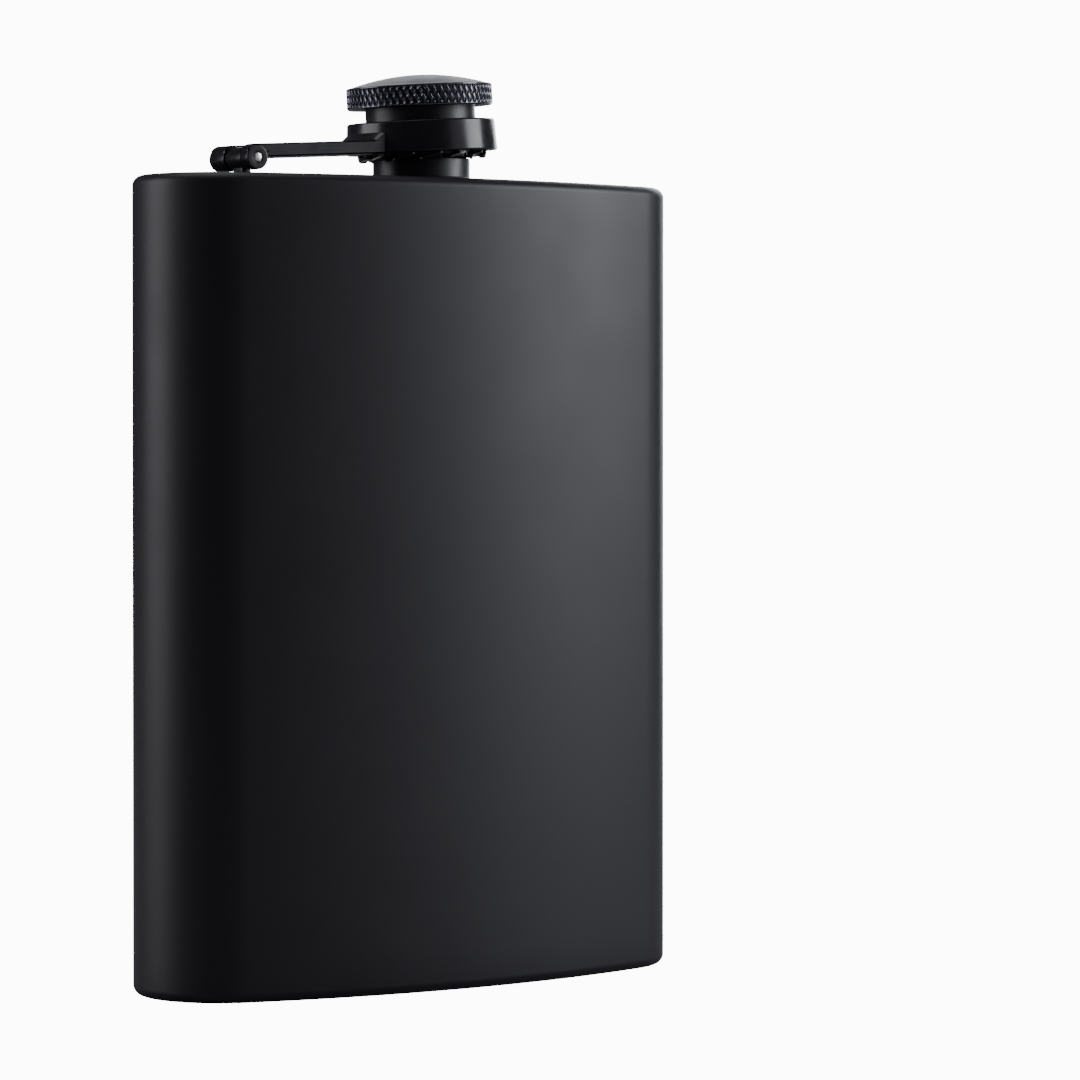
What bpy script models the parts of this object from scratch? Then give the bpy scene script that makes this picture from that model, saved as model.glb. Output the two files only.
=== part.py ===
"""A curved 8 oz hip flask with a captive screw cap on a hinged arm.

Units are metres, with mm as a factor. Z is up, X runs along the flask's width and -Y is its convex
front. The origin is the middle of the base. The cap is modelled as it sits just after it is unscrewed:
raised in its ring, with the arm leaning a few degrees up from level.
"""

from math import acos, atan2, cos, hypot, pi, radians, sin, sqrt, tau

import bmesh
import bpy
from mathutils import Vector

mm = 0.001

# Body: a kidney-shaped tube with a convex front and a concave back, closed by two plates.
BODY_WIDTH = 94.0 * mm
BODY_HEIGHT = 124.0 * mm
PANEL_GAP = 23.5 * mm  # front panel to back panel, across the middle
FRONT_RADIUS = 132.6 * mm
FRONT_CORNER = 13.7 * mm
BACK_CORNER = 5.0 * mm
EDGE_RADIUS = 1.6 * mm  # the wrap curls in by this much at its top and bottom
WALL = 0.6 * mm
SEAM = 0.3 * mm  # between the curl and each plate

# Neck: a turned ferrule through the top plate, with a short male thread.
FRONT_TO_NECK = 14.0 * mm
NECK_RADIUS = 7.5 * mm
SPIGOT_RADIUS = 6.6 * mm  # where it passes through the top plate
NECK_BORE = 5.4 * mm
NECK_TOP = BODY_HEIGHT + 9.0 * mm
NECK_BELOW_PLATE = 2.0 * mm
NECK_COLLAR_RADIUS = 7.65 * mm
NECK_COLLAR_HEIGHT = 0.35 * mm
NECK_SHOULDER = BODY_HEIGHT + 3.4 * mm
NECK_THREAD_LOW = NECK_SHOULDER + 1.0 * mm
NECK_THREAD_MEAN = 6.4 * mm
THREAD_DEPTH = 0.25 * mm  # each way from the mean radius
THREAD_PITCH = 1.25 * mm
THREAD_ROWS_PER_PITCH = 4

# Hinge: a pin through a bracket knuckle, with the arm's two ears either side.
HINGE_X = -33.3 * mm
HINGE_Z = BODY_HEIGHT + 2.42 * mm
PIN_RADIUS = 0.8 * mm
EAR_RADIUS = 1.85 * mm
KNUCKLE_RADIUS = 1.7 * mm
BARREL_LENGTH = 11.0 * mm
KNUCKLE_LENGTH = 4.2 * mm
KNUCKLE_Y = -1.0 * mm  # its middle, from the barrel's
POST_THICKNESS = 1.5 * mm
POST_WIDTH = 2.6 * mm
POST_PAD = 0.25 * mm  # how far its foot spreads
RUNNING_GAP = 0.08 * mm
SIDE_GAP = 0.2 * mm

# Arm and its ring, level, measured from the hinge's axis.
ARM_LEAN = radians(3.3)
ARM_REACH = 33.5 * mm  # a little past the neck's axis, taken up by the cap's play on the neck
ARM_HALF_WIDTH = 5.25 * mm
ARM_BOTTOM = 0.0 * mm
ARM_TOP = 2.07 * mm
RING_TOP = 4.9 * mm
RING_RADIUS_TOP = 11.42 * mm
RING_RADIUS_BOTTOM = 11.7 * mm
RING_BORE = 8.75 * mm
RING_BEVEL = 0.25 * mm
COVE_RADIUS = 1.3 * mm
CROWN_X = -0.3 * mm  # each ear's squared top corner is an arc about this point
CROWN_Z = 0.68 * mm
CROWN_RADIUS = 1.36 * mm

# Cap, measured from the plane of its head's underside, which stands this far above the hinge's axis.
CAP_RAISED = 6.98 * mm
HEAD_RADIUS = 11.3 * mm
HEAD_HEIGHT = 3.35 * mm
DOME_HEIGHT = 1.8 * mm
HEAD_BEVEL = 0.3 * mm
HEAD_ROOF = 2.0 * mm  # at the middle of the dome
SKIRT_RADIUS = 8.5 * mm
SKIRT_BORE = 7.95 * mm
SKIRT_BOTTOM = -7.92 * mm
INSERT_TOP = 2.7 * mm
INSERT_CEILING = 2.0 * mm
CAP_THREAD_CREST = 7.35 * mm
CAP_THREAD_LOW = -2.9 * mm
CAP_THREAD_HIGH = 0.5 * mm
GASKET_RADIUS = 7.0 * mm
GASKET_THICKNESS = 0.8 * mm
GASKET_GAP = 0.05 * mm
PRESS_GAP = 0.1 * mm
WASHER_THICKNESS = 0.5 * mm
WASHER_RADIUS = 9.9 * mm
WASHER_ROOT = 9.1 * mm
WASHER_TEETH = 14

ROUND_STEPS = 48
SMALL_ROUND_STEPS = 24
EDGE_STEPS = 3
CUT_OVERRUN = 5.0 * mm


def clear_scene():
    """Removes whatever objects the file started with."""
    for obj in list(bpy.data.objects):
        bpy.data.objects.remove(obj)


def material(name, colour, metallic, roughness):
    """A Principled material of one linear colour."""
    made = bpy.data.materials.new(name)
    made.use_nodes = True
    shader = made.node_tree.nodes["Principled BSDF"]
    shader.inputs["Base Color"].default_value = (*colour, 1.0)
    shader.inputs["Metallic"].default_value = metallic
    shader.inputs["Roughness"].default_value = roughness
    return made


def add_object(name, mesh_data, finish, parent=None):
    """Turns a bmesh into a linked object with outward faces, smooth but for its sharp edges."""
    bmesh.ops.recalc_face_normals(mesh_data, faces=mesh_data.faces)
    mesh = bpy.data.meshes.new(name)
    mesh_data.to_mesh(mesh)
    mesh_data.free()
    mesh.shade_smooth()
    mesh.set_sharp_from_angle(angle=radians(35))
    if finish:
        mesh.materials.append(finish)
    obj = bpy.data.objects.new(name, mesh)
    bpy.context.scene.collection.objects.link(obj)
    obj.parent = parent
    return obj


def add_pivot(name, location, rotation=(0, 0, 0), parent=None):
    """An empty on a joint's axis, which carries what turns there."""
    pivot = bpy.data.objects.new(name, None)
    bpy.context.scene.collection.objects.link(pivot)
    pivot.parent = parent
    pivot.location = location
    pivot.rotation_euler = rotation
    return pivot


def loft(loops, closed_profile=False):
    """Joins equal loops of points with quads. The ends are capped, or the last loop joins the first."""
    made = bmesh.new()
    rings = [[made.verts.new(point) for point in loop] for loop in loops]
    pairs = list(zip(rings, rings[1:]))
    if closed_profile:
        pairs.append((rings[-1], rings[0]))
    for low, high in pairs:
        for i in range(len(low)):
            j = (i + 1) % len(low)
            made.faces.new((low[i], low[j], high[j], high[i]))
    if not closed_profile:
        made.faces.new(rings[0])
        made.faces.new(rings[-1])
    return made


def turned(profile, steps=ROUND_STEPS, axis="Z"):
    """Spins a closed (radius, height) outline about an axis. Points at no radius meet on the axis."""
    made = bmesh.new()
    points = [made.verts.new((radius, 0, height)) for radius, height in profile]
    edges = [made.edges.new((a, b)) for a, b in zip(points, points[1:] + points[:1])]
    bmesh.ops.spin(
        made,
        geom=points + edges,
        cent=(0, 0, 0),
        axis=(0, 0, 1),
        angle=tau,
        steps=steps,
        use_merge=True,
    )
    bmesh.ops.remove_doubles(made, verts=made.verts, dist=1e-7)
    bmesh.ops.dissolve_degenerate(made, edges=made.edges, dist=1e-7)
    on_axis = [edge for edge in made.edges if edge.is_wire]
    bmesh.ops.delete(made, geom=on_axis, context="EDGES")
    if axis == "Y":
        turn = Vector((0, 0, 1)).rotation_difference(Vector((0, 1, 0))).to_matrix()
        bmesh.ops.rotate(made, verts=made.verts, cent=(0, 0, 0), matrix=turn)
    return made


def box(low, high):
    """A block between two corners."""
    made = bmesh.new()
    bmesh.ops.create_cube(made, size=1)
    centre = (Vector(low) + Vector(high)) / 2
    size = Vector(high) - Vector(low)
    for vert in made.verts:
        vert.co = centre + Vector(a * b for a, b in zip(vert.co, size))
    return made


def rod(radius, low, high, axis="Z", steps=SMALL_ROUND_STEPS):
    """A plain cylinder between two heights."""
    return turned([(0, low), (radius, low), (radius, high), (0, high)], steps, axis)


def threaded(profile, steps=ROUND_STEPS):
    """Turns a closed (radius, height, depth) outline whose radius rises and falls along a helix.

    Depth is the share of a triangle wave, one pitch long, that is added to the radius.
    """
    loops = []
    for radius, height, depth in profile:
        loop = []
        for i in range(steps):
            phase = (height / THREAD_PITCH - i / steps) % 1
            wave = 4 * abs(phase - 0.5) - 1
            reach = radius + depth * wave
            loop.append((reach * cos(tau * i / steps), reach * sin(tau * i / steps), height))
        loops.append(loop)
    return loft(loops, closed_profile=True)


def thread_rows(mean, low, high, depth):
    """Profile points up a thread, which fades in and out over half a pitch."""
    count = round((high - low) / THREAD_PITCH * THREAD_ROWS_PER_PITCH)
    rows = []
    for i in range(count + 1):
        height = low + (high - low) * i / count
        fade = min(1.0, 2 * (height - low) / THREAD_PITCH, 2 * (high - height) / THREAD_PITCH)
        rows.append((mean, height, depth * fade))
    return rows


def combine(obj, other, operation):
    """Adds a Boolean with a helper, which is hidden and follows the same parent."""
    other.hide_render = True
    other.display_type = "WIRE"
    other.parent = obj.parent
    cut = obj.modifiers.new(operation.lower(), "BOOLEAN")
    cut.operation = operation
    cut.solver = "EXACT"
    cut.object = other


def arc(centre, radius, start, end, steps):
    """Points along an arc, without its last one, from one angle to another."""
    return [
        (centre[0] + radius * cos(start + (end - start) * i / steps),
         centre[1] + radius * sin(start + (end - start) * i / steps))
        for i in range(steps)
    ]


def kidney_arcs():
    """The outline's arcs on the +X side: (centre, radius, start, end, steps, outward sign)."""
    middle = (0.0, FRONT_RADIUS)
    corner_x = BODY_WIDTH / 2 - FRONT_CORNER
    corner = (corner_x, FRONT_RADIUS - sqrt((FRONT_RADIUS - FRONT_CORNER) ** 2 - corner_x**2))
    back_radius = FRONT_RADIUS - PANEL_GAP
    to_middle = back_radius + BACK_CORNER
    to_corner = FRONT_CORNER - BACK_CORNER
    apart = hypot(corner[0] - middle[0], corner[1] - middle[1])
    bearing = atan2(corner[1] - middle[1], corner[0] - middle[0])
    turn = acos((to_middle**2 + apart**2 - to_corner**2) / (2 * to_middle * apart))
    back = (
        middle[0] + to_middle * cos(bearing + turn),
        middle[1] + to_middle * sin(bearing + turn),
    )
    front_end = atan2(corner[1] - middle[1], corner[0] - middle[0])
    corner_end = atan2(back[1] - corner[1], back[0] - corner[0])
    back_end = atan2(middle[1] - back[1], middle[0] - back[0])
    back_start = atan2(back[1] - middle[1], back[0] - middle[0])
    return [
        (middle, FRONT_RADIUS, -pi / 2, front_end, 12, 1),
        (corner, FRONT_CORNER, front_end, corner_end, 10, 1),
        (back, BACK_CORNER, corner_end, back_end, 6, 1),
        (middle, back_radius, back_start, -pi / 2, 10, -1),
    ]


def kidney_middle():
    """How far the outline's own origin, its front's middle, lies from the body's middle in depth."""
    centre, radius = kidney_arcs()[2][:2]
    return (centre[1] + radius) / 2


def neck_y():
    """The neck's place in depth. The hinge and the cap share it."""
    return FRONT_TO_NECK - kidney_middle()


def kidney(inset, height):
    """The outline at one height, moved in by an inset, as a loop of points."""
    half = []
    for centre, radius, start, end, steps, outward in kidney_arcs():
        half += arc(centre, radius - outward * inset, start, end, steps)
    half.append((0.0, PANEL_GAP - inset))
    mirrored = [(-x, y) for x, y in reversed(half[1:-1])]
    middle = kidney_middle()
    return [(x, y - middle, height) for x, y in half + mirrored]


def build_wrap(finish):
    """The one-piece wall, curled in at the top and the bottom."""
    outer = []
    inner = []
    for i in range(EDGE_STEPS + 1):
        angle = pi / 2 * i / EDGE_STEPS
        inner_radius = EDGE_RADIUS - WALL
        outer.append((EDGE_RADIUS * (1 - sin(angle)), EDGE_RADIUS * (1 - cos(angle))))
        inner.append((EDGE_RADIUS - inner_radius * sin(angle), EDGE_RADIUS - inner_radius * cos(angle)))
    rows = outer + [(inset, BODY_HEIGHT - z) for inset, z in reversed(outer)]
    rows += [(inset, BODY_HEIGHT - z) for inset, z in inner] + inner[::-1]
    add_object("body_wrap", loft([kidney(*row) for row in rows], closed_profile=True), finish)


def build_plate(name, low, finish):
    """A flat plate inside the curl."""
    inset = EDGE_RADIUS + SEAM
    return add_object(name, loft([kidney(inset, low), kidney(inset, low + WALL)]), finish)


def build_plates(finish):
    """The base, and the top with its hole for the neck."""
    build_plate("base_plate", 0.0, finish)
    top = build_plate("top_plate", BODY_HEIGHT - WALL, finish)
    hole = rod(
        SPIGOT_RADIUS + PRESS_GAP, BODY_HEIGHT - CUT_OVERRUN, BODY_HEIGHT + CUT_OVERRUN, steps=ROUND_STEPS
    )
    bmesh.ops.translate(hole, verts=hole.verts, vec=(0, neck_y(), 0))
    combine(top, add_object("neck_hole", hole, None), "DIFFERENCE")


def build_neck(finish):
    """The ferrule: a tube with a small collar on the plate and a thread at its mouth."""
    low = BODY_HEIGHT - NECK_BELOW_PLATE
    collar = BODY_HEIGHT + SEAM / 6
    collar_top = BODY_HEIGHT + NECK_COLLAR_HEIGHT
    lip = 0.3 * mm
    profile = [
        (NECK_BORE, low, 0),
        (SPIGOT_RADIUS, low, 0),
        (SPIGOT_RADIUS, collar, 0),
        (NECK_COLLAR_RADIUS, collar, 0),
        (NECK_COLLAR_RADIUS, collar_top, 0),
        (NECK_RADIUS, collar_top + lip / 2, 0),
        (NECK_RADIUS, NECK_SHOULDER - lip, 0),
        (NECK_THREAD_MEAN, NECK_SHOULDER + lip, 0),
    ]
    profile += thread_rows(NECK_THREAD_MEAN, NECK_THREAD_LOW, NECK_TOP - lip, THREAD_DEPTH)
    profile += [
        (NECK_THREAD_MEAN - THREAD_DEPTH, NECK_TOP, 0),
        (NECK_BORE + lip / 2, NECK_TOP, 0),
        (NECK_BORE, NECK_TOP - lip, 0),
    ]
    made = threaded(profile)
    bmesh.ops.translate(made, verts=made.verts, vec=(0, neck_y(), 0))
    add_object("threaded_neck", made, finish)


def build_bracket(finish):
    """The hinge post on the top plate, with its knuckle."""
    pivot = add_pivot("bracket_origin", (HINGE_X, neck_y() + KNUCKLE_Y, HINGE_Z))
    foot = BODY_HEIGHT - HINGE_Z + SEAM / 6
    half_x, half_y = POST_THICKNESS / 2, POST_WIDTH / 2
    rows = [
        (half_x + POST_PAD, half_y + POST_PAD, foot),
        (half_x + POST_PAD / 3, half_y + POST_PAD / 3, foot + POST_PAD * 2 / 3),
        (half_x, half_y, foot + POST_PAD * 4 / 3),
        (half_x, half_y, 0),
    ]
    corners = ((-1, -1), (1, -1), (1, 1), (-1, 1))
    post = loft([[(x * a, y * b, height) for a, b in corners] for x, y, height in rows])
    bracket = add_object("hinge_bracket", post, finish, pivot)
    knuckle = rod(KNUCKLE_RADIUS, -KNUCKLE_LENGTH / 2, KNUCKLE_LENGTH / 2, "Y")
    combine(bracket, add_object("bracket_knuckle", knuckle, None), "UNION")
    hole = rod(PIN_RADIUS + RUNNING_GAP, -CUT_OVERRUN, CUT_OVERRUN, "Y")
    combine(bracket, add_object("bracket_hole", hole, None), "DIFFERENCE")


def build_arm(pivot, finish):
    """The cast arm: a ring round the cap's skirt, a flat arm, a cove between them, and two ears."""
    ring = [
        (RING_BORE, ARM_BOTTOM),
        (RING_RADIUS_BOTTOM - RING_BEVEL, ARM_BOTTOM),
        (RING_RADIUS_BOTTOM, ARM_BOTTOM + RING_BEVEL),
        (RING_RADIUS_TOP, RING_TOP - RING_BEVEL),
        (RING_RADIUS_TOP - RING_BEVEL, RING_TOP),
        (RING_BORE, RING_TOP),
    ]
    half = BARREL_LENGTH / 2
    slab_end = ARM_REACH - RING_BORE - 2 * SEAM
    slab = box(
        (CROWN_X, -ARM_HALF_WIDTH, ARM_BOTTOM + SEAM / 6), (slab_end, ARM_HALF_WIDTH, ARM_TOP)
    )
    arm = add_object("cap_arm", slab, finish, pivot)

    ears = rod(EAR_RADIUS, -half, half, "Y")
    combine(arm, add_object("ear_barrel", ears, None), "UNION")
    crown = rod(CROWN_RADIUS, SIDE_GAP - half, half - SIDE_GAP, "Y")
    bmesh.ops.translate(crown, verts=crown.verts, vec=(CROWN_X, 0, CROWN_Z))
    combine(arm, add_object("ear_crown", crown, None), "UNION")
    combine(arm, cove_piece(ARM_HALF_WIDTH, pivot), "UNION")

    made = turned(ring)
    bmesh.ops.translate(made, verts=made.verts, vec=(ARM_REACH, 0, 0))
    combine(arm, add_object("arm_ring", made, None), "UNION")

    notch_half = KNUCKLE_LENGTH / 2 + SIDE_GAP
    notch_reach = KNUCKLE_RADIUS + 2 * SIDE_GAP
    notch = box(
        (-CUT_OVERRUN, KNUCKLE_Y - notch_half, -CUT_OVERRUN),
        (notch_reach, KNUCKLE_Y + notch_half, CUT_OVERRUN),
    )
    combine(arm, add_object("ear_notch", notch, None), "DIFFERENCE")
    hole = rod(PIN_RADIUS + RUNNING_GAP, -2 * CUT_OVERRUN, 2 * CUT_OVERRUN, "Y")
    combine(arm, add_object("ear_hole", hole, None), "DIFFERENCE")


def cove_piece(half, pivot):
    """The hollow fillet where the arm's top rises into the ring, as wide as the arm."""
    steps = 4
    base = RING_RADIUS_BOTTOM - 2 * RING_BEVEL
    profile = [(base - COVE_RADIUS, ARM_BOTTOM + RING_BEVEL), (base + COVE_RADIUS, ARM_BOTTOM + RING_BEVEL)]
    for i in range(steps + 1):
        angle = pi / 2 * i / steps
        radius = base + COVE_RADIUS * (1 - sin(angle))
        profile.append((radius, ARM_TOP - SEAM / 6 + COVE_RADIUS * (1 - cos(angle))))
    profile.append((base - COVE_RADIUS, ARM_TOP - SEAM / 6 + COVE_RADIUS))
    made = turned(profile)
    bmesh.ops.translate(made, verts=made.verts, vec=(ARM_REACH, 0, 0))
    cove = add_object("arm_cove", made, None, pivot)
    keep = box(
        (0, SEAM / 6 - half, -CUT_OVERRUN), (ARM_REACH - RING_BORE / 2, half - SEAM / 6, CUT_OVERRUN)
    )
    combine(cove, add_object("cove_limits", keep, None), "INTERSECT")
    return cove


def build_pin(pivot, finish):
    """The hinge's riveted pin, its domed ends just proud of the ears."""
    half = BARREL_LENGTH / 2
    proud = 0.15 * mm
    profile = [
        (0, -half - proud),
        (PIN_RADIUS * 0.7, -half - proud),
        (PIN_RADIUS, -half),
        (PIN_RADIUS, half),
        (PIN_RADIUS * 0.7, half + proud),
        (0, half + proud),
    ]
    add_object("hinge_pin", turned(profile, SMALL_ROUND_STEPS, "Y"), finish, pivot)


def build_cap_shell(axis, finish):
    """The cap's outer head: a plain band where the knurl is cut, under a low dome."""
    steps = 8
    bed = INSERT_TOP + PRESS_GAP
    pocket = SKIRT_RADIUS + PRESS_GAP
    rim = HEAD_RADIUS - HEAD_BEVEL
    profile = [
        (pocket, 0),
        (rim, 0),
        (HEAD_RADIUS, HEAD_BEVEL),
        (HEAD_RADIUS, HEAD_HEIGHT - HEAD_BEVEL),
    ]
    for i in range(steps + 1):
        radius = rim * (1 - i / steps)
        profile.append((radius, HEAD_HEIGHT + DOME_HEIGHT * (1 - (radius / rim) ** 2)))
    profile += [(0, HEAD_HEIGHT + DOME_HEIGHT - HEAD_ROOF), (pocket, bed)]
    add_object("cap_shell", turned(profile), finish, axis)


def build_cap_insert(axis, finish):
    """The cap's threaded insert, whose lower end is the skirt that runs through the arm's ring."""
    mean = (CAP_THREAD_CREST + SKIRT_BORE) / 2
    depth = (SKIRT_BORE - CAP_THREAD_CREST) / 2
    lip = 0.2 * mm
    rows = thread_rows(mean, CAP_THREAD_LOW, CAP_THREAD_HIGH, depth)
    profile = [
        (SKIRT_BORE, SKIRT_BOTTOM, 0),
        (SKIRT_RADIUS, SKIRT_BOTTOM, 0),
        (SKIRT_RADIUS, INSERT_TOP, 0),
    ]
    inside = [(SKIRT_BORE, CAP_THREAD_HIGH + lip, 0)] + rows[::-1] + [(SKIRT_BORE, CAP_THREAD_LOW - lip, 0)]
    made = open_topped(profile, [(SKIRT_BORE, INSERT_CEILING, 0)] + inside)
    add_object("cap_insert", made, finish, axis)


def open_topped(outside, inside):
    """A cup: the outside's last loop and the inside's first are each closed with a disc."""
    made = threaded(outside + inside)
    faces_between = [
        face for face in made.faces
        if {round(vert.co.z, 7) for vert in face.verts}
        == {round(outside[-1][1], 7), round(inside[0][1], 7)}
    ]
    bmesh.ops.delete(made, geom=faces_between, context="FACES_ONLY")
    edges = [edge for edge in made.edges if edge.is_boundary]
    bmesh.ops.holes_fill(made, edges=edges, sides=0)
    return made


def build_gasket(axis, finish):
    """The sealing disc in the roof of the insert."""
    top = INSERT_CEILING - GASKET_GAP
    disc = rod(GASKET_RADIUS, top - GASKET_THICKNESS, top, steps=ROUND_STEPS)
    add_object("cap_gasket", disc, finish, axis)


def build_washer(axis, finish):
    """The toothed washer pushed on the skirt's end, which keeps the cap in the arm's ring."""
    bore = SKIRT_RADIUS + PRESS_GAP
    steps_per_tooth = 4
    count = WASHER_TEETH * steps_per_tooth
    high = SKIRT_BOTTOM + WASHER_THICKNESS
    loops = []
    for toothed, height in ((False, SKIRT_BOTTOM), (True, SKIRT_BOTTOM), (True, high), (False, high)):
        loop = []
        for i in range(count):
            reach = (WASHER_RADIUS if i % steps_per_tooth < 2 else WASHER_ROOT) if toothed else bore
            angle = tau * i / count
            loop.append((reach * cos(angle), reach * sin(angle), height))
        loops.append(loop)
    add_object("retaining_washer", loft(loops, closed_profile=True), finish, axis)


def main():
    """Builds the flask: its body, its hinge, then the arm and the cap on their leaning pivot."""
    clear_scene()
    matte_black = material("matte_black_coat", (0.016, 0.016, 0.019), 0.1, 0.5)
    satin_black = material("satin_black_coat", (0.012, 0.012, 0.014), 0.2, 0.35)
    bare_steel = material("bare_steel", (0.62, 0.62, 0.63), 1.0, 0.28)
    silicone = material("silicone", (0.72, 0.72, 0.70), 0.0, 0.55)

    build_wrap(matte_black)
    build_plates(matte_black)
    build_neck(satin_black)
    build_bracket(satin_black)

    hinge = add_pivot("hinge_axis", (HINGE_X, neck_y(), HINGE_Z), (0, -ARM_LEAN, 0))
    build_arm(hinge, satin_black)
    build_pin(hinge, bare_steel)
    cap_axis = add_pivot("cap_axis", (ARM_REACH, 0, CAP_RAISED), parent=hinge)
    build_cap_shell(cap_axis, satin_black)
    build_cap_insert(cap_axis, satin_black)
    build_gasket(cap_axis, silicone)
    build_washer(cap_axis, satin_black)


main()
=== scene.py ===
"""Looks of a curved black hip flask: a coated steel body and a knurled captive cap on a hinged arm.

Lengths are metres, with mm as a factor. The frame is the CAD model's: +Z up, -Y the convex front.
"""

import bmesh
import bpy
import numpy as np
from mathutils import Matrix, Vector


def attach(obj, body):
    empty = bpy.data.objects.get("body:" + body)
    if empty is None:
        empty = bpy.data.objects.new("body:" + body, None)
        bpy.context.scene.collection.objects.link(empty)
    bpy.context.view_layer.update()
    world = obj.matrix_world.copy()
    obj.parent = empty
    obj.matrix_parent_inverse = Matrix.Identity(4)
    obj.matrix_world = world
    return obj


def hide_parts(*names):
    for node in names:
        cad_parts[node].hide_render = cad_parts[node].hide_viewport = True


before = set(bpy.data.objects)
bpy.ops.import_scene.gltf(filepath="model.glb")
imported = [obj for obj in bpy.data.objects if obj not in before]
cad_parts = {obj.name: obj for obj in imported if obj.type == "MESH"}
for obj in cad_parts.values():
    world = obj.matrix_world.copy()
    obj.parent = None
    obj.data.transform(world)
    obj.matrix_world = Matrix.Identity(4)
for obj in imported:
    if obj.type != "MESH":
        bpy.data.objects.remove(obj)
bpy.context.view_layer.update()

mm = 0.001
pi, tau = np.pi, 2 * np.pi

# Body outline, as in the CAD model.
BODY_WIDTH = 94.0 * mm
BODY_HEIGHT = 124.0 * mm
PANEL_GAP = 23.5 * mm
FRONT_RADIUS = 132.6 * mm
FRONT_CORNER = 13.7 * mm
BACK_CORNER = 5.0 * mm
EDGE_RADIUS = 1.6 * mm
WALL = 0.6 * mm
SEAM_HALF_WIDTH = 0.12 * mm
SEAM_DEPTH = 0.03 * mm
PLATE_HOLE = 6.62 * mm
OUTLINE_MIDDLE = 15.1343 * mm
OUTLINE_STEPS = (110, 60, 34, 90)  # on the front, its corner, the back's corner and the back
NECK_Y = -1.1343 * mm

# Neck, with heights from the body's top.
SPIGOT_RADIUS = 6.55 * mm
SPIGOT_DEPTH = 2.0 * mm
COLLAR_RADIUS = 7.63 * mm
COLLAR_TOP = 0.25 * mm
NECK_RADIUS = 7.5 * mm
NECK_SHOULDER = 3.4 * mm
NECK_TOP = 9.0 * mm
NECK_BORE = 5.4 * mm
NECK_THREAD = (4.4 * mm, 8.7 * mm)  # lower and upper end
NECK_THREAD_RADIUS = 6.4 * mm
NECK_THREAD_DEPTH = 0.25 * mm

# Hinge, arm and ring, measured from the pin's axis with the arm level.
PIN_HEIGHT = 2.42 * mm
HINGE = (-33.3 * mm, NECK_Y, BODY_HEIGHT + PIN_HEIGHT)
ARM_LEAN = np.radians(3.3)
ARM_REACH = 33.5 * mm
ARM_HALF_WIDTH = 5.25 * mm
ARM_BOTTOM = 0.0 * mm
ARM_TOP = 2.07 * mm
RING_TOP = 4.9 * mm
RING_RADIUS_TOP = 11.42 * mm
RING_RADIUS_BOTTOM = 11.7 * mm
RING_BORE = 8.75 * mm
RAMP_HEIGHT = 1.1 * mm
RAMP_REACH = 1.3 * mm
CROWN_X = -0.3 * mm
CROWN_Z = 0.68 * mm
CROWN_RADIUS = 1.36 * mm
NOTCH_END = 2.2 * mm
EAR_RADIUS = 1.85 * mm
BARREL_HALF = 5.5 * mm
KNUCKLE_RADIUS = 1.7 * mm
KNUCKLE_HALF = 2.1 * mm
KNUCKLE_Y = -1.0 * mm
SIDE_GAP = 0.2 * mm
STEM_HALF_X = 0.75 * mm
STEM_HALF_Y = 1.3 * mm
STEM_TOP = -0.9 * mm
PIN_RADIUS = 0.8 * mm
PIN_BORE = PIN_RADIUS + 0.06 * mm
PIN_DOME = 0.22 * mm

# Cap, measured from its head's underside.
CAP_RAISED = 6.98 * mm
HEAD_RADIUS = 11.3 * mm
HEAD_HEIGHT = 3.35 * mm
DOME_HEIGHT = 1.8 * mm
SKIRT_RADIUS = 8.5 * mm
SKIRT_BORE = 7.95 * mm
SKIRT_BOTTOM = -7.92 * mm
INSERT_TOP = 2.7 * mm
INSERT_CEILING = 2.0 * mm
INSERT_THREAD = (-2.9 * mm, 0.5 * mm)  # lower and upper end
INSERT_THREAD_DEPTH = 0.2 * mm
THREAD_PITCH = 1.25 * mm
KNURL_COUNT = 64
KNURL_LEAN = np.radians(27)
KNURL_DEPTH = 0.36 * mm
KNURL_LOW = 0.28 * mm
KNURL_HIGH = HEAD_HEIGHT - 0.22 * mm
GASKET_TOP = 1.95 * mm
GASKET_THICKNESS = 0.8 * mm
GASKET_RADIUS = 7.0 * mm
WASHER_THICKNESS = 0.5 * mm
WASHER_RADIUS = 10.0 * mm
WASHER_BORE = 8.56 * mm
WASHER_TEETH = 14
LEAF_ROOT = 8.9 * mm
LEAF_GAP_DEPTH = 0.75 * mm
LEAF_TWIST = 0.4 * mm
LEAF_LIFT = 0.1 * mm

# Faces that would share a plane are held this far apart.
CLEAR = 0.02 * mm

# How far the coatings' fine grain stands up.
GRAIN_HEIGHT = 0.02 * mm

# Points closer than the first are one point, and an edge shorter than the second is dropped.
MERGE_DISTANCE = 0.0002 * mm
SLIVER_LENGTH = 0.00001 * mm


# ---------------------------------------------------------------- surfaces


def on_hinge(points):
    """Points given from the pin's axis with the arm level, put where the leaning arm has them."""
    c, s = np.cos(ARM_LEAN), np.sin(ARM_LEAN)
    x, y, z = points[..., 0], points[..., 1], points[..., 2]
    return np.stack([c * x - s * z, y, s * x + c * z], -1) + np.array(HINGE)


def on_cap(points):
    """Points given from the middle of the cap head's underside, put on the leaning cap's axis."""
    return on_hinge(points + np.array([ARM_REACH, 0, CAP_RAISED]))


def grid_faces(rows, columns, wrap_rows):
    """Quads of a grid whose columns go round, and whose point (i, j) is number i * columns + j."""
    i, j = np.meshgrid(np.arange(rows if wrap_rows else rows - 1), np.arange(columns), indexing="ij")
    i2, j2 = (i + 1) % rows, (j + 1) % columns
    quads = np.stack([i * columns + j, i * columns + j2, i2 * columns + j2, i2 * columns + j], -1)
    return quads.reshape(-1, 4)


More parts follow.
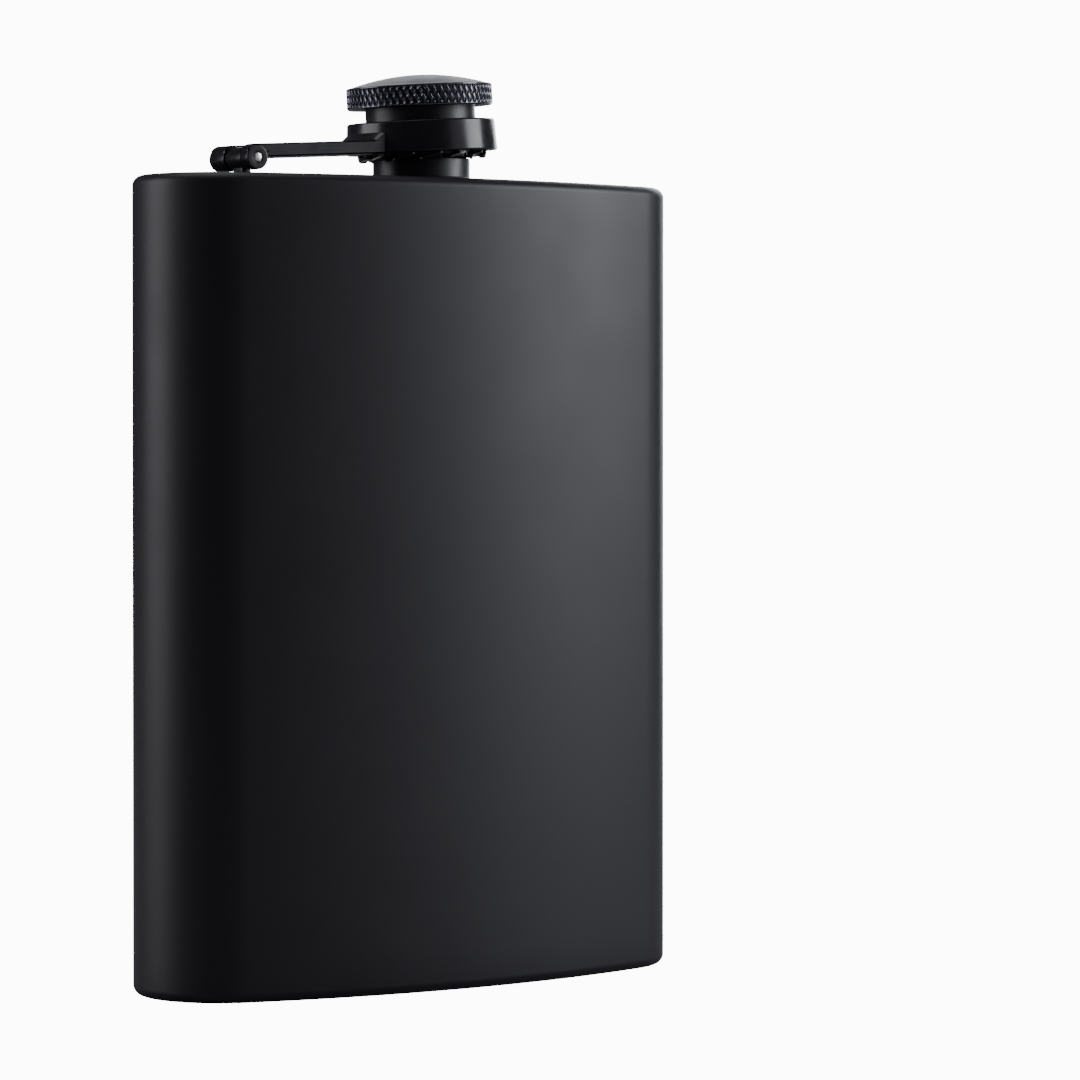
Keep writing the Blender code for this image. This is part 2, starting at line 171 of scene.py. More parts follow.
def shell(points, wrap_rows=False):
    """A closed surface from a grid of points whose columns go round. Unless its rows wrap too, its first
    and last rows have shrunk to a point each, and are merged there."""
    rows, columns = points.shape[:2]
    return points.reshape(-1, 3), grid_faces(rows, columns, wrap_rows)


def spun(profile, steps=192, wave=None):
    """A surface of revolution: profile is rows of (radius, height), carried round the Z axis.
    wave, if given, is added to the radius and is a function of (turn angle, radius, height)."""
    profile = np.asarray(profile, float)
    turn = np.arange(steps) / steps * tau
    r = np.broadcast_to(profile[:, :1], (len(profile), steps))
    z = np.broadcast_to(profile[:, 1:], (len(profile), steps))
    a = np.broadcast_to(turn, r.shape)
    if wave:
        r = r + wave(a, r, z)
    return np.stack([r * np.cos(a), r * np.sin(a), z], -1)


def rounded(corners, radii, steps=6, closed=True):
    """A (radius, height) outline whose corners are turned into arcs of the given radii."""
    corners = [np.array(c, float) for c in corners]
    out = []
    for k, (here, radius) in enumerate(zip(corners, radii)):
        if radius <= 0 or (not closed and k in (0, len(corners) - 1)):
            out.append(here)
            continue
        before, after = corners[k - 1] - here, corners[(k + 1) % len(corners)] - here
        before, after = before / np.linalg.norm(before), after / np.linalg.norm(after)
        half = np.arccos(np.clip(before @ after, -1, 1)) / 2
        cut = radius / np.tan(half)
        middle = here + (before + after) / np.linalg.norm(before + after) * radius / np.sin(half)
        a, b = here + before * cut - middle, here + after * cut - middle
        sweep = np.arctan2(a[0] * b[1] - a[1] * b[0], a @ b)
        for t in np.linspace(0, sweep, steps + 1):
            c, s = np.cos(t), np.sin(t)
            out.append(middle + np.array([c * a[0] - s * a[1], s * a[0] + c * a[1]]))
    return np.array(out)


def build(name, shells, materials, body, replaces, sharp=40, place=None):
    """One object from closed shells of (points, faces, slot), merged at seams and poles. A slot is a
    material's number, or an array of one for each face. Edges bent by more than sharp degrees stay sharp."""
    verts, faces, slots, start = [], [], [], 0
    for points, quads, slot in shells:
        if place is not None:
            points = place(points)
        verts.append(points)
        faces.append(quads + start)
        slots.append(np.full(len(quads), slot))
        start += len(points)
    verts, faces, slots = np.concatenate(verts), np.concatenate(faces), np.concatenate(slots)
    mesh = bpy.data.meshes.new(name)
    mesh.from_pydata(verts, [], faces)
    mesh.polygons.foreach_set("material_index", slots.astype(np.int32))
    work = bmesh.new()
    work.from_mesh(mesh)
    bmesh.ops.remove_doubles(work, verts=work.verts, dist=MERGE_DISTANCE)
    bmesh.ops.dissolve_degenerate(work, edges=work.edges, dist=SLIVER_LENGTH)
    bmesh.ops.recalc_face_normals(work, faces=work.faces)
    work.to_mesh(mesh)
    work.free()
    mesh.shade_smooth()
    mesh.set_sharp_from_angle(angle=np.radians(sharp))
    for m in materials:
        mesh.materials.append(m)
    obj = bpy.data.objects.new(name, mesh)
    bpy.context.scene.collection.objects.link(obj)
    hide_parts(*replaces)
    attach(obj, body)
    return obj


# ---------------------------------------------------------------- materials


def to_linear(hex_colour):
    """An sRGB hex colour such as "1a1b1f" as a linear RGBA tuple."""
    value = np.array([int(hex_colour[i : i + 2], 16) for i in (0, 2, 4)]) / 255
    linear = np.where(value <= 0.04045, value / 12.92, ((value + 0.055) / 1.055) ** 2.4)
    return (*linear.tolist(), 1.0)


def node(tree, kind, inputs=()):
    """Adds one node. inputs are (socket, value or output) pairs."""
    made = tree.nodes.new(kind)
    for socket, value in inputs:
        if isinstance(value, bpy.types.NodeSocket):
            tree.links.new(value, made.inputs[socket])
        else:
            made.inputs[socket].default_value = value
    return made


def new_material(name, **values):
    """A Principled material and its (material, tree, shader), with uniform values set on the shader."""
    made = bpy.data.materials.new(name)
    made.use_nodes = True
    shader = made.node_tree.nodes["Principled BSDF"]
    for key, value in values.items():
        shader.inputs[key.replace("_", " ")].default_value = value
    return made, made.node_tree, shader


def object_noise(tree, scale, detail):
    """Noise fixed to the object, whose features are about 1 / scale metres wide."""
    place = node(tree, "ShaderNodeTexCoord").outputs["Object"]
    inputs = [("Vector", place), ("Scale", scale), ("Detail", detail)]
    return node(tree, "ShaderNodeTexNoise", inputs).outputs["Fac"]


def cloudy_roughness(tree, shader, scale, detail, low, high):
    """Lets the roughness drift between two values in soft clouds."""
    cloud = object_noise(tree, scale, detail)
    tone = node(
        tree, "ShaderNodeMapRange",
        [("Value", cloud), ("From Min", 0.3), ("From Max", 0.7), ("To Min", low), ("To Max", high)],
    )
    tree.links.new(tone.outputs["Result"], shader.inputs["Roughness"])


def fine_grain(tree, shader, scale, detail, strength):
    """Raises a fine grain on the surface."""
    grain = object_noise(tree, scale, detail)
    bump = node(
        tree, "ShaderNodeBump", [("Strength", strength), ("Distance", GRAIN_HEIGHT), ("Height", grain)]
    )
    tree.links.new(bump.outputs["Normal"], shader.inputs["Normal"])


def matte_coat():
    """Sprayed matte enamel on steel: black with a cool cast, and a fine eggshell grain that spreads
    the light into broad soft gradients."""
    made, tree, shader = new_material(
        "matte sprayed enamel on steel", Base_Color=to_linear("19161e"), Roughness=0.44
    )
    cloudy_roughness(tree, shader, scale=70.0, detail=2.0, low=0.42, high=0.47)
    fine_grain(tree, shader, scale=5200.0, detail=3.0, strength=0.12)
    return made


def satin_coat(name, rough, colour="1a181e", metallic=0.0):
    """Satin black plating on turned or cast steel: near black, with soft bright reflections and a
    trace of fine grain."""
    made, tree, shader = new_material(
        name, Base_Color=to_linear(colour), Metallic=metallic, Roughness=rough
    )
    cloudy_roughness(tree, shader, scale=350.0, detail=3.0, low=rough - 0.04, high=rough + 0.05)
    fine_grain(tree, shader, scale=8000.0, detail=2.0, strength=0.03)
    return made


def bare_steel():
    """Riveted pin end of bare stainless steel: bright grey, with faintly uneven gloss."""
    made, tree, shader = new_material(
        "bare stainless pin end", Base_Color=to_linear("c9c9ca"), Metallic=1.0, Roughness=0.3
    )
    cloudy_roughness(tree, shader, scale=1800.0, detail=3.0, low=0.22, high=0.4)
    return made


def silicone():
    """Moulded silicone: a milky off-white with a soft sheen."""
    made, tree, shader = new_material(
        "moulded silicone", Base_Color=to_linear("d6d5d0"), Roughness=0.5, Subsurface_Weight=0.15,
        Subsurface_Radius=(0.002, 0.0018, 0.0015),
    )
    fine_grain(tree, shader, scale=2500.0, detail=2.0, strength=0.1)
    return made


# ---------------------------------------------------------------- body


def outline_arcs():
    """The outline's arcs on the +X side: (centre, radius, start, end, outward sign)."""
    corner_x = BODY_WIDTH / 2 - FRONT_CORNER
    corner = np.array([corner_x, FRONT_RADIUS - np.sqrt((FRONT_RADIUS - FRONT_CORNER) ** 2 - corner_x**2)])
    middle = np.array([0.0, FRONT_RADIUS])
    back_radius = FRONT_RADIUS - PANEL_GAP
    to_middle, to_corner = back_radius + BACK_CORNER, FRONT_CORNER - BACK_CORNER
    offset = corner - middle
    apart = np.hypot(*offset)
    turn = np.arccos((to_middle**2 + apart**2 - to_corner**2) / (2 * to_middle * apart))
    bearing = np.arctan2(offset[1], offset[0])
    back = middle + to_middle * np.array([np.cos(bearing + turn), np.sin(bearing + turn)])
    corner_end = np.arctan2(*(back - corner)[::-1])
    return [
        (middle, FRONT_RADIUS, -pi / 2, bearing, 1),
        (corner, FRONT_CORNER, bearing, corner_end, 1),
        (back, BACK_CORNER, corner_end, np.arctan2(*(middle - back)[::-1]), 1),
        (middle, back_radius, np.arctan2(*(back - middle)[::-1]), -pi / 2, -1),
    ]


def outline():
    """The body's plan as points and outward normals, both (n, 2), anticlockwise from the front's middle."""
    points, normals = [], []
    for (centre, radius, start, end, outward), steps in zip(outline_arcs(), OUTLINE_STEPS):
        a = start + (end - start) * np.arange(steps) / steps
        direction = np.stack([np.cos(a), np.sin(a)], -1)
        points.append(centre + radius * direction)
        normals.append(outward * direction)
    points.append(np.array([[0.0, PANEL_GAP]]))
    normals.append(np.array([[0.0, 1.0]]))
    points, normals = np.concatenate(points), np.concatenate(normals)
    flip = np.array([-1, 1])
    points = np.concatenate([points, (points[1:-1] * flip)[::-1]])
    normals = np.concatenate([normals, (normals[1:-1] * flip)[::-1]])
    return points - np.array([0, OUTLINE_MIDDLE]), normals


def body_skin(coat):
    """The hollow body as one surface. Each row is the outline moved inward by an inset, at a height.
    Rows on the flat top shrink from the outline to the neck's hole, and on the base to a point."""
    points, normals = outline()
    centre = np.array([0.0, NECK_Y])
    toward = points - centre
    spoke = toward / np.linalg.norm(toward, axis=1, keepdims=True)

    def ring(inset, z):
        return np.column_stack([points - normals * inset, np.full(len(points), z)])

    def flat(inset, z, share, radius):
        edge = points - normals * inset
        inner = centre + spoke * radius
        return np.column_stack([edge + (inner - edge) * share, np.full(len(points), z)])

    bend = np.linspace(0, pi / 2, 15)
    # Each pair is an inset and a depth below the plate: from the wall to the plate, then across the seam.
    curl = [(EDGE_RADIUS * (1 - np.cos(t)), EDGE_RADIUS * (1 - np.sin(t))) for t in bend]
    seam = EDGE_RADIUS + 0.35 * mm
    groove = [
        (seam - SEAM_HALF_WIDTH, 0.0), (seam - 0.05 * mm, 0.4 * SEAM_DEPTH), (seam, SEAM_DEPTH),
        (seam + 0.05 * mm, 0.4 * SEAM_DEPTH), (seam + SEAM_HALF_WIDTH, 0.0),
    ]
    top = BODY_HEIGHT
    rows = [flat(EDGE_RADIUS, top, 1.0, PLATE_HOLE)]
    rows += [flat(seam + 0.3 * mm, top, s, PLATE_HOLE) for s in (0.85, 0.6, 0.35, 0.15)]
    rows += [ring(inset, top - drop) for inset, drop in groove[::-1]]
    rows += [ring(inset, top - drop) for inset, drop in curl[::-1]]
    rows += [ring(0.0, z) for z in np.linspace(top - EDGE_RADIUS, EDGE_RADIUS, 26)[1:-1]]
    rows += [ring(inset, drop) for inset, drop in curl]
    rows += [ring(inset, drop) for inset, drop in groove]
    rows += [flat(seam + 0.3 * mm, 0.0, s, 0.0) for s in (0.1, 0.3, 0.55, 0.8, 1.0)]
    inner_radius = EDGE_RADIUS - WALL
    inner = [
        (EDGE_RADIUS - inner_radius * np.cos(t), EDGE_RADIUS - inner_radius * np.sin(t)) for t in bend[::2]
    ]
    rows += [flat(EDGE_RADIUS, WALL, s, 0.0) for s in (1.0, 0.8, 0.5, 0.2)]
    rows += [ring(inset, height) for inset, height in inner[::-1]]
    rows += [ring(WALL, z) for z in np.linspace(EDGE_RADIUS, top - EDGE_RADIUS, 8)[1:-1]]
    rows += [ring(inset, top - height) for inset, height in inner]
    rows += [flat(EDGE_RADIUS, top - WALL, s, PLATE_HOLE) for s in (0.2, 0.6, 1.0)]
    surface = shell(np.array(rows), wrap_rows=True)
    nodes = ("body_wrap", "top_plate", "base_plate")
    return build("body_skin", [(*surface, 0)], [coat], "flask", nodes, sharp=55)


def thread_tooth(a, z, low, high):
    """A thread's tooth, from -1 in the root to 1 on the crest, and its fade from 1 to 0 at both ends. The
    tooth is a clipped triangle wave of height over pitch minus turn."""
    phase = (z / THREAD_PITCH - a / tau) % 1
    tooth = np.clip(1.6 * (1 - np.abs(4 * phase - 2)) + 0.2, -1, 1)
    run_out = 0.5 * THREAD_PITCH
    fade = np.clip(np.minimum((z - low) / run_out, (high - z) / run_out), 0, 1)
    return tooth, fade


def neck_part(coat):
    """The threaded neck: a turned outline carried round the neck's axis, with a thread on its upper
    part."""
    base = BODY_HEIGHT
    low, high = base + NECK_THREAD[0], base + NECK_THREAD[1]

    def ridge(a, r, z):
        tooth, fade = thread_tooth(a, z, low, high)
        on_wall = np.abs(r - NECK_THREAD_RADIUS) < 0.4 * mm
        return NECK_THREAD_DEPTH * tooth * fade * on_wall

    outside = rounded(
        [
            (SPIGOT_RADIUS, base - SPIGOT_DEPTH), (SPIGOT_RADIUS, base + CLEAR),
            (COLLAR_RADIUS, base + CLEAR), (COLLAR_RADIUS, base + COLLAR_TOP),
            (NECK_RADIUS, base + 2 * COLLAR_TOP), (NECK_RADIUS, base + NECK_SHOULDER),
            (NECK_THREAD_RADIUS, base + NECK_SHOULDER + 0.35 * mm),
        ],
        [0, 0, 0, 0.1 * mm, 0.1 * mm, 0.25 * mm, 0], closed=False,
    )
    wall = np.linspace(low, high, 70)
    thread = np.column_stack([np.full(len(wall), NECK_THREAD_RADIUS), wall])
    lip = rounded(
        [
            (NECK_THREAD_RADIUS, high), (NECK_THREAD_RADIUS - 0.25 * mm, base + NECK_TOP),
            (NECK_BORE, base + NECK_TOP), (NECK_BORE, base - SPIGOT_DEPTH),
        ],
        [0, 0.12 * mm, 0.15 * mm, 0], closed=False,
    )
    profile = np.concatenate([outside, thread, lip[1:]])
    surface = shell(spun(profile, 192, ridge) + np.array([0, NECK_Y, 0]), wrap_rows=True)
    return build("neck_turned", [(*surface, 0)], [coat], "flask", ("threaded_neck",), sharp=35)


# ---------------------------------------------------------------- hinge and arm


def tube_along_y(radius, low, high, edge):
    """A tube on the pin, along Y between two depths, with rounded rims."""
    corners = [(PIN_BORE, low), (radius, low), (radius, high), (PIN_BORE, high)]
    points = spun(rounded(corners, [edge / 3, edge, edge, edge / 3]), 96)
    return np.stack([points[..., 0], points[..., 2], points[..., 1]], -1)


def slab(x_low, x_high, half, stations, top, bottom=ARM_BOTTOM + CLEAR):
    """A bar carried along X, flat at its sides and at its bottom. top is a function of (x, y) that gives
    the height of its upper face, and the long edges are eased by a quarter circle."""
    x = np.linspace(x_low, x_high, stations)
    section = np.array([(-half, 0), (half, 0), (half, 1), (-half, 1)], float)
    edges = []
    for a, b in zip(section, np.roll(section, -1, 0)):
        t = np.linspace(0, 1, 24, endpoint=False)[:, None]
        edges.append(a + (b - a) * t)
    section = np.concatenate(edges)
    y, share = section[:, 0], section[:, 1]
    xx, yy = np.meshgrid(x, y, indexing="ij")
    upper = top(xx, yy)
    zz = bottom + (upper - bottom) * share[None, :]
    rim = 0.22 * mm
    near_side = half - np.abs(yy)
    ease = rim - np.sqrt(np.clip(rim**2 - np.clip(rim - near_side, 0, rim) ** 2, 0, None))
    middle = (upper + bottom) / 2
    ease = np.minimum(ease, (upper - bottom) / 2.2)
    at_edge = (share[None, :] == 0) | (share[None, :] == 1)
    zz = np.where(at_edge, zz + np.sign(middle - zz) * ease, zz)
    return np.stack([xx, yy, zz], -1)


def capped(points):
    """The same grid with its first and last rows shrunk to their middles, so that both ends are closed."""
    first, last = points[:1].mean(1, keepdims=True), points[-1:].mean(1, keepdims=True)
    first, last = (np.broadcast_to(end, points[:1].shape) for end in (first, last))
    return np.concatenate([first, points, last])


def arm_top(x, y):
    """Height of the arm's upper face: flat, then a conical ramp up the ring's wall. The ramp is a
    straight line in distance from the ring, blended into the flat by a hyperbola."""
    wall = np.maximum(np.hypot(x - ARM_REACH, y) - RING_RADIUS_BOTTOM + 0.1 * mm, -0.2 * mm)
    rise = RAMP_HEIGHT * (1 - wall / RAMP_REACH)
    blend = 0.16 * mm
    return ARM_TOP + (rise + np.sqrt(rise**2 + blend**2)) / 2


def arm_crown(x, y):
    """Height of the strap over an ear: level with the arm, then dropping along a quarter circle."""
    drop = np.clip((CROWN_X - x) / CROWN_RADIUS, 0, 0.9995)
    return CROWN_Z + (ARM_TOP - CROWN_Z - 0.01 * mm) * np.sqrt(1 - drop**2)


def cheek_top(x, y):
    """Height of the filling between an ear and the bar: a little below the arm's top."""
    return np.full_like(x, ARM_TOP - 0.1 * mm)


def arm_part(coat):
    """The cast arm: a ring on the cap's skirt, a bar that rises into it, and two ears on the pin. Each
    ear is a barrel with a strap over it, and a cheek that joins it to the bar."""
    ring = rounded(
        [
            (RING_BORE, ARM_BOTTOM), (RING_RADIUS_BOTTOM, ARM_BOTTOM),
            (RING_RADIUS_TOP, RING_TOP), (RING_BORE, RING_TOP),
        ],
        [0.2 * mm, 0.3 * mm, 0.35 * mm, 0.3 * mm], steps=8,
    )
    ring_points = spun(ring, 256) + np.array([ARM_REACH, 0, 0])
    bar = slab(NOTCH_END, ARM_REACH - RING_BORE - 0.8 * mm, ARM_HALF_WIDTH, 110, arm_top)
    shells = [(*shell(ring_points, wrap_rows=True), 0), (*shell(capped(bar)), 0)]
    root = NOTCH_END + 0.3 * mm  # straps and cheeks run this far into the bar
    for side in (-1, 1):
        gap = KNUCKLE_HALF + SIDE_GAP
        near, far = sorted((KNUCKLE_Y + side * gap, side * BARREL_HALF))
        ear = tube_along_y(EAR_RADIUS, near, far, 0.18 * mm)
        inner = KNUCKLE_Y + side * (gap + 0.05 * mm)
        outer = side * (ARM_HALF_WIDTH - 0.01 * mm)
        half = abs(outer - inner) / 2
        middle = np.array([0, (inner + outer) / 2, 0])
        strap = slab(CROWN_X - CROWN_RADIUS, root, half, 26, arm_crown, CROWN_Z) + middle
        cheek = slab(0.9 * mm, root, half - 0.015 * mm, 8, cheek_top) + middle
        shells.append((*shell(ear, wrap_rows=True), 0))
        shells.append((*shell(capped(strap)), 0))
        shells.append((*shell(capped(cheek)), 0))
    return build("arm_cast", shells, [coat], "arm", ("cap_arm",), sharp=40, place=on_hinge)


def pin_part(steel):
    """The hinge pin, with a low dome riveted on each end: a quarter ellipse turned about the axis."""
    shoulder = BARREL_HALF + 0.12 * mm - PIN_DOME
    dome = [(PIN_RADIUS * np.sin(t), PIN_DOME * np.cos(t)) for t in np.linspace(0, pi / 2, 9)]
    profile = [(r, shoulder + h) for r, h in dome] + [(r, -shoulder - h) for r, h in dome[::-1]]
    points = spun(profile, 72)
    points = np.stack([points[..., 0], points[..., 2], points[..., 1]], -1)
    surface = shell(points)
    return build("pin_riveted", [(*surface, 0)], [steel], "arm", ("hinge_pin",), place=on_hinge)


def bracket_part(coat):
    """The welded hinge post: a rectangular stem that flares into the plate by a falling exponential, and
    up into its knuckle by a parabola."""
    foot = CLEAR - PIN_HEIGHT
    middle = np.array(HINGE) + np.array([0, KNUCKLE_Y, 0])
    rows = []
    for z in np.linspace(foot, STEM_TOP, 24):
        flare = 0.3 * mm * np.exp(-((z - foot) / (0.2 * mm)))
        blend = 0.5 * mm * np.clip(1 - (STEM_TOP - z) / (0.6 * mm), 0, 1) ** 2
        half_x, half_y = STEM_HALF_X + flare + 0.4 * blend, STEM_HALF_Y + flare + blend
        corners = [(-half_x, -half_y), (half_x, -half_y), (half_x, half_y), (-half_x, half_y)]
        section = rounded(corners, [0.2 * mm] * 4, steps=7)
        rows.append(np.column_stack([section, np.full(len(section), z)]))
    stem = capped(np.array(rows)) + middle
    knuckle = tube_along_y(KNUCKLE_RADIUS, -KNUCKLE_HALF, KNUCKLE_HALF, 0.15 * mm) + middle
    shells = [(*shell(stem), 0), (*shell(knuckle, wrap_rows=True), 0)]
    return build("bracket_welded", shells, [coat], "flask", ("hinge_bracket",), sharp=40)


# ---------------------------------------------------------------- cap


def knurl(a, r, z):
    """Change of radius on the head's band: the deeper of two sets of V grooves that lean opposite ways,
    the second set shallower, and all fading out at the band's two rims."""
    around = KNURL_COUNT * a / tau
    along = KNURL_COUNT * (z - KNURL_LOW) * np.tan(KNURL_LEAN) / (tau * HEAD_RADIUS)
    ridge_one = np.abs(((around + along) % 1) - 0.5) * 2
    ridge_two = np.abs(((around - along) % 1) - 0.5) * 2
    groove = np.minimum(ridge_one, 0.3 + 0.75 * ridge_two)
    fade = np.clip(np.minimum(z - KNURL_LOW, KNURL_HIGH - z) / (0.18 * mm), 0, 1)
    on_band = r > HEAD_RADIUS - 0.02 * mm
    return -KNURL_DEPTH * (1 - np.clip(groove * 1.5, 0, 1)) * fade * on_band


def head_part(coat, dome_coat):
    """The knurled head, turned about the cap's axis. It is smooth above and below its knurled band, and
    its dome is a paraboloid with a finish of its own."""
    steps = 1080
    neck = SKIRT_RADIUS - 0.3 * mm
    under = rounded(
        [(neck, 1.0 * mm), (neck, 0.0), (HEAD_RADIUS - 0.3 * mm, 0.0), (HEAD_RADIUS, 0.22 * mm)],
        [0, 0, 0.12 * mm, 0], closed=False,
    )
    band_z = np.linspace(KNURL_LOW - 0.03 * mm, KNURL_HIGH + 0.03 * mm, 62)
    band = np.column_stack([np.full(len(band_z), HEAD_RADIUS), band_z])
    rim = HEAD_RADIUS - 0.32 * mm
    edge = rounded(
        [(HEAD_RADIUS, band_z[-1]), (HEAD_RADIUS, HEAD_HEIGHT), (rim - 0.4 * mm, HEAD_HEIGHT + 0.12 * mm)],
        [0, 0.16 * mm, 0], closed=False,
    )
    r = np.linspace(rim - 0.4 * mm, 0, 40)
    dome = np.column_stack([r, HEAD_HEIGHT + DOME_HEIGHT * (1 - (r / rim) ** 2)])
    profile = np.concatenate([[(0, 1.0 * mm)], under, band, edge[1:-1], dome])
    surface, faces = shell(spun(profile, steps, knurl))
    edge_rows = 6  # the rounded edge wears the dome's finish
    first_dome_row = len(profile) - len(dome) - edge_rows
    slots = (np.arange(len(faces)) // steps >= first_dome_row).astype(int)
    return build(
        "cap_head_knurled", [(surface, faces, slots)], [coat, dome_coat], "cap", ("cap_shell",),
        sharp=75, place=on_cap,
    )


def insert_part(coat):
    """The cap's threaded insert and skirt: a turned cup, with a thread inside its upper half."""
    low, high = INSERT_THREAD

    def ridge(a, r, z):
        tooth, fade = thread_tooth(a, z, low, high)
        on_bore = np.abs(r - SKIRT_BORE) < 0.01 * mm
        return -INSERT_THREAD_DEPTH * (tooth + 1) * fade * on_bore

    plug = SKIRT_RADIUS - 0.4 * mm
    outside = rounded(
        [
            (0, INSERT_TOP), (plug, INSERT_TOP), (plug, 0.3 * mm),
            (SKIRT_RADIUS, 0.0), (SKIRT_RADIUS, SKIRT_BOTTOM), (SKIRT_BORE, SKIRT_BOTTOM),
        ],
        [0, 0.1 * mm, 0, 0, 0.15 * mm, 0], closed=False,
    )
    inner_z = np.concatenate(
        [[SKIRT_BOTTOM + 0.2 * mm, low - 0.3 * mm], np.linspace(low, high, 52), [1.2 * mm, INSERT_CEILING]]
    )
    inside = np.column_stack([np.full(len(inner_z), SKIRT_BORE), inner_z])
    profile = np.concatenate([outside, inside, [(0, INSERT_CEILING)]])
    surface = shell(spun(profile, 192, ridge))
    return build(
        "cap_insert_turned", [(*surface, 0)], [coat], "cap", ("cap_insert",), sharp=35, place=on_cap
    )


def gasket_part(rubber):
    """The sealing disc, with rounded rims and a shallow ring pressed in by the neck's mouth."""
    top = GASKET_TOP
    low = top - GASKET_THICKNESS
    pressed = low + 0.06 * mm
    profile = rounded(
        [
            (0, top), (GASKET_RADIUS, top), (GASKET_RADIUS, low), (6.3 * mm, low),
            (6.1 * mm, pressed), (5.5 * mm, pressed), (5.3 * mm, low), (0, low),
        ],
        [0, 0.15 * mm, 0.15 * mm, 0.05 * mm, 0.05 * mm, 0.05 * mm, 0.05 * mm, 0], closed=False,
    )
    surface = shell(spun(profile, 144))
    return build("gasket_moulded", [(*surface, 0)], [rubber], "cap", ("cap_gasket",), place=on_cap)


def washer_part(coat):
    """The toothed retaining washer: a flat ring whose outer half is cut into leaves, each twisted
    so that one side stands above its plane and the other hangs below."""
    low, high = SKIRT_BOTTOM + 0.1 * mm, SKIRT_BOTTOM + WASHER_THICKNESS
    corners = [(WASHER_BORE, low), (WASHER_RADIUS, low), (WASHER_RADIUS, high), (WASHER_BORE, high)]
    profile = rounded(corners, [0.06 * mm] * 4, steps=3)
    rows = []
    for a, b in zip(profile, np.roll(profile, -1, 0)):
        t = np.linspace(0, 1, 6, endpoint=False)[:, None]
        rows.append(a + (b - a) * t)
    points = spun(np.concatenate(rows), WASHER_TEETH * 24)
    r = np.hypot(points[..., 0], points[..., 1])
    a = np.arctan2(points[..., 1], points[..., 0])
    leaf = (a / tau * WASHER_TEETH) % 1
    gap = np.clip((np.abs(leaf - 0.5) - 0.36) / 0.1, 0, 1)
    out = np.clip((r - LEAF_ROOT) / (1.0 * mm), 0, 1)
    scale = 1 - gap * out * LEAF_GAP_DEPTH / r
    dip = LEAF_TWIST * out * np.clip((leaf - 0.5) / 0.36, -1, 1) + LEAF_LIFT * out
    points = np.stack([points[..., 0] * scale, points[..., 1] * scale, points[..., 2] + dip], -1)
    surface = shell(points, wrap_rows=True)
    return build(
        "washer_toothed", [(*surface, 0)], [coat], "cap_carrier", ("retaining_washer",),
        sharp=50, place=on_cap,
    )


# ---------------------------------------------------------------- stage


def look_from(place, yaw, pitch):
    """A matrix at a place that looks level along (sin yaw, cos yaw), turned down by pitch."""
    forward = Vector((np.sin(yaw) * np.cos(pitch), np.cos(yaw) * np.cos(pitch), -np.sin(pitch)))
    made = forward.to_track_quat("-Z", "Y").to_matrix().to_4x4()
    made.translation = Vector(place)
    return made


def camera():
    """The viewpoint: far off to the left of the front, with the eye at two thirds of the body's height."""
    data = bpy.data.cameras.new("camera")
    data.lens = 151.85
    data.sensor_width = 36.0
    data.clip_start = 0.01
    data.shift_y = -0.0576
    obj = bpy.data.objects.new("camera", data)
    bpy.context.scene.collection.objects.link(obj)
    place, yaw, pitch = (-0.39724, -0.58546, 0.08774), np.radians(35.70), np.radians(0.785)
    obj.matrix_world = look_from(place, yaw, pitch)
    bpy.context.scene.camera = obj
    return obj


def area_light(name, place, aim, size, power, colour):
    """A soft rectangular light at a place, turned to face a point."""
    data = bpy.data.lights.new(name, "AREA")
    data.shape = "RECTANGLE"
    data.size, data.size_y = size
    data.energy = power
    data.color = colour
    obj = bpy.data.objects.new(name, data)
    bpy.context.scene.collection.objects.link(obj)
    obj.location = place
    obj.rotation_euler = (Vector(aim) - Vector(place)).to_track_quat("-Z", "Y").to_euler()
    return obj


LIGHTS = [
    # name, place, point it faces, size, power in watts, colour
    ("left_end_softbox", (-1.02, 0.62, 0.08), (0, 0, 0.07), (0.74, 1.5), 11.0, (0.95, 0.94, 1.0)),
    ("right_softbox", (0.58, -0.40, 0.29), (0.02, -0.01, 0.07), (0.38, 0.40), 3.5, (0.925, 0.955, 1.0)),
    ("front_fill_softbox", (0.38, -0.70, 0.30), (0, 0, 0.07), (0.5, 0.5), 0.4, (0.93, 0.93, 1.0)),
    ("right_rim_softbox", (0.80, 0.55, 0.15), (0, 0, 0.07), (0.25, 1.2), 3.6, (0.95, 1.0, 1.0)),
    ("high_back_softbox", (0.92, 0.74, 0.60), (0, 0, 0.13), (1.1, 0.6), 2.7, (0.95, 0.98, 1.0)),
    ("top_softbox", (-0.05, 0.2, 1.2), (0, 0, 0.1), (0.9, 0.9), 3.5, (0.95, 1.0, 1.0)),
]
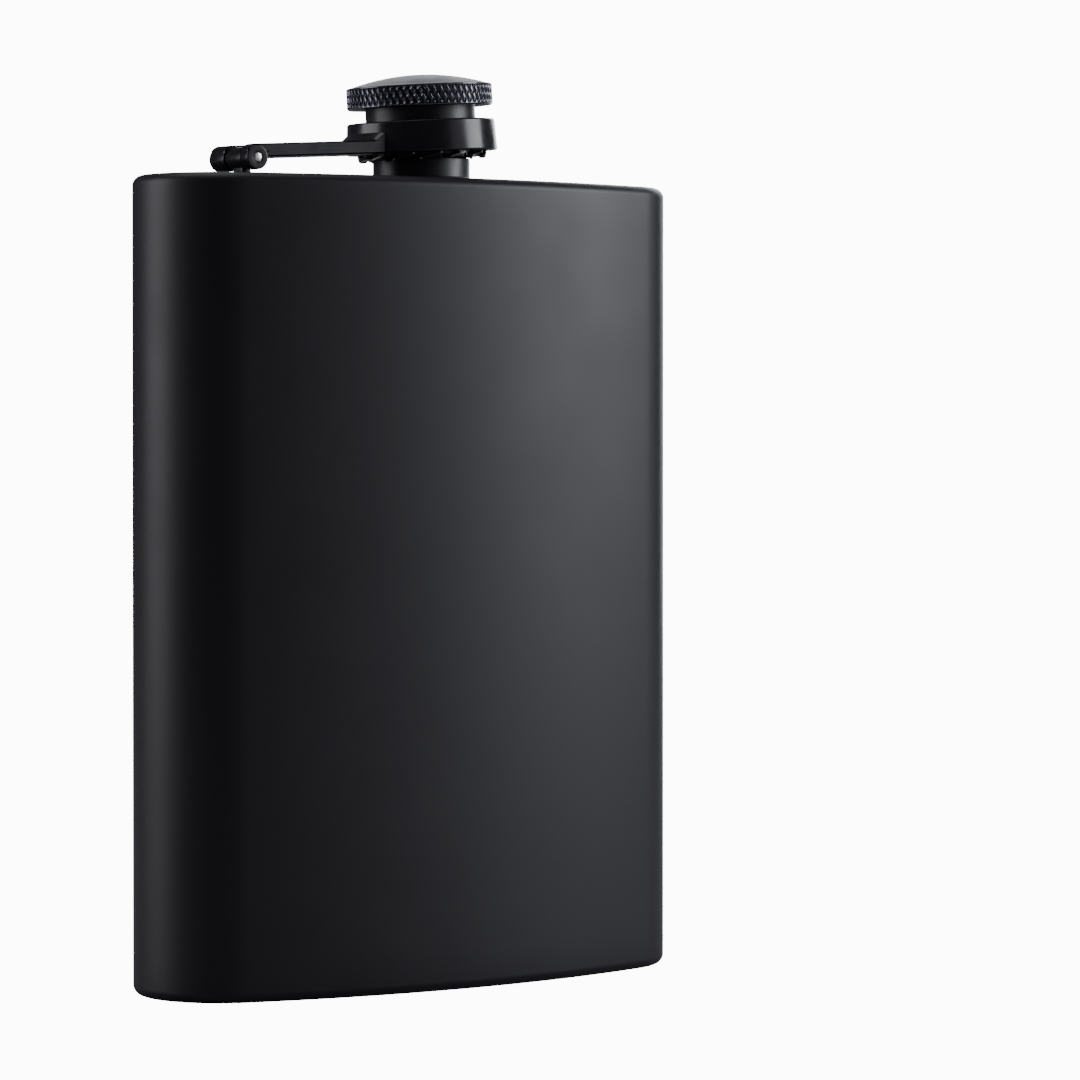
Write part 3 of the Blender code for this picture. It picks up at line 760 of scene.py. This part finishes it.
WHITE = (1, 1, 1, 1)
SURROUND_STRENGTH = 12.0  # of the floor and the surround, where the camera looks at them directly
FILL_COLOUR = (0.86, 0.82, 1, 1)
FILL_STRENGTH = 0.08


def white_to_camera(tree, shader, white, output):
    """Shows the camera a plain white, and everything else the shader."""
    direct = node(tree, "ShaderNodeLightPath").outputs["Is Camera Ray"]
    mixed = node(tree, "ShaderNodeMixShader", [(0, direct), (1, shader.outputs[0]), (2, white.outputs[0])])
    tree.links.new(mixed.outputs[0], tree.nodes[output].inputs["Surface"])


def studio():
    """A pale floor, a white surround, and soft lights at the left end, at the right and its rim, in front,
    high behind and above."""
    bpy.ops.mesh.primitive_plane_add(size=6.0, location=(0, 0, 0))
    floor = bpy.context.object
    floor.name = "floor"
    paper, tree, shader = new_material("white paper sweep", Base_Color=to_linear("98989a"), Roughness=0.9)
    white = node(tree, "ShaderNodeEmission", [("Color", WHITE), ("Strength", SURROUND_STRENGTH)])
    white_to_camera(tree, shader, white, "Material Output")
    floor.data.materials.append(paper)
    world = bpy.data.worlds.new("surround")
    world.use_nodes = True
    tree = world.node_tree
    white = tree.nodes["Background"]
    white.inputs["Color"].default_value = WHITE
    white.inputs["Strength"].default_value = SURROUND_STRENGTH
    fill = node(tree, "ShaderNodeBackground", [("Color", FILL_COLOUR), ("Strength", FILL_STRENGTH)])
    white_to_camera(tree, fill, white, "World Output")
    bpy.context.scene.world = world
    for light in LIGHTS:
        area_light(*light)


def main():
    """Makes the materials, the pieces, the camera and the lights."""
    matte = matte_coat()
    satin = satin_coat("satin black plating on cast steel", 0.22)
    turned = satin_coat("satin black plating on turned steel", 0.36)
    body_skin(matte)
    neck_part(turned)
    bracket_part(satin)
    arm_part(satin)
    pin_part(bare_steel())
    head_part(
        satin_coat("black nickel plating on knurled steel", 0.15, "62626a", 1.0),
        satin_coat("black nickel plating on a pressed dome", 0.34, "6a6a72", 1.0),
    )
    insert_part(turned)
    gasket_part(silicone())
    washer_part(satin)
    camera()
    studio()


main()
